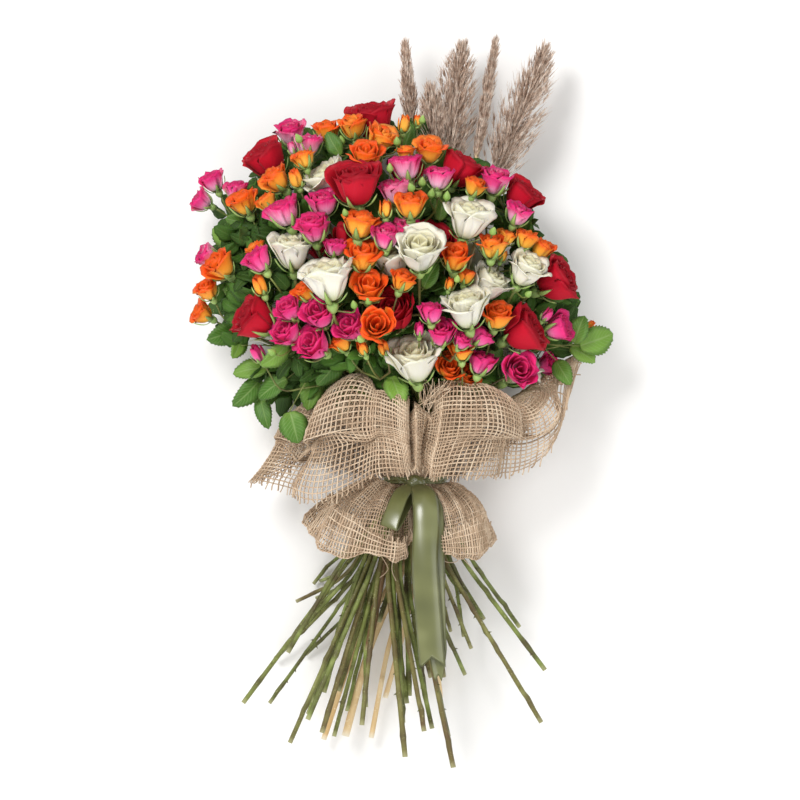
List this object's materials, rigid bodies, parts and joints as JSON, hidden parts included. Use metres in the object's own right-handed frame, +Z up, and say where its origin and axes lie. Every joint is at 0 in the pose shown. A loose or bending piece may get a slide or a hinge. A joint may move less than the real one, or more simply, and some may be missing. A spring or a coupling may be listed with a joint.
{
  "type": "flower bouquet",
  "caption": "Tied bunch of red, cream, orange and pink roses with reed plumes, in a burlap wrap with a satin ribbon; it lies on its back.",
  "frame": {"origin": "on the surface the bouquet lies on, right under the axis of the bundle at the tie", "axes": "+Y along the stems from the cut ends to the blooms, +X to the right as seen from above, +Z up to the viewer"},
  "size_m": [0.4814, 0.8399, 0.2618],
  "materials": {
    "red_petals": "velvet matt",
    "white_petals": "soft matt",
    "orange_petals": "soft matt",
    "pink_petals": "soft matt",
    "green_stems": "semi matt",
    "dry_reed": "matt",
    "jute_burlap": "coarse open weave",
    "satin_ribbon": "satin",
    "jute_twine": "matt"
  },
  "bodies": {
    "root": {"rose_red_01": "red_petals", "rose_red_02": "red_petals", "rose_red_03": "red_petals", "rose_red_04": "red_petals", "rose_red_05": "red_petals", "rose_red_06": "red_petals", "rose_red_07": "red_petals", "rose_red_08": "red_petals", "rose_red_09": "red_petals", "rose_red_10": "red_petals", "rose_red_11": "red_petals", "rose_white_01": "white_petals", "rose_white_02": "white_petals", "rose_white_03": "white_petals", "rose_white_04": "white_petals", "rose_white_05": "white_petals", "rose_white_06": "white_petals", "rose_white_07": "white_petals", "rose_white_08": "white_petals", "rose_white_09": "white_petals", "rose_white_10": "white_petals", "rose_white_11": "white_petals", "rose_back_1": "red_petals", "rose_back_2": "white_petals", "rose_back_3": "red_petals", "rose_back_4": "white_petals", "spray_orange_01": "orange_petals", "spray_orange_02": "orange_petals", "spray_orange_03": "orange_petals", "spray_orange_04": "orange_petals", "spray_orange_05": "orange_petals", "spray_orange_06": "orange_petals", "spray_orange_07": "orange_petals", "spray_orange_08": "orange_petals", "spray_orange_09": "orange_petals", "spray_orange_10": "orange_petals", "spray_orange_11": "orange_petals", "spray_pink_01": "pink_petals", "spray_pink_02": "pink_petals", "spray_pink_03": "pink_petals", "spray_pink_04": "pink_petals", "spray_pink_05": "pink_petals", "spray_pink_06": "pink_petals", "spray_pink_07": "pink_petals", "spray_pink_08": "pink_petals", "spray_pink_09": "pink_petals", "spray_pink_10": "pink_petals", "spray_pink_11": "pink_petals", "spray_pink_12": "pink_petals", "reed_plume_1": "dry_reed", "reed_plume_2": "dry_reed", "reed_plume_3": "dry_reed", "reed_plume_4": "dry_reed", "reed_plume_5": "dry_reed", "stems": "green_stems", "burlap_wrap": "jute_burlap", "satin_ribbon": "satin_ribbon", "binding_twine": "jute_twine"}
  },
  "joints": []
}
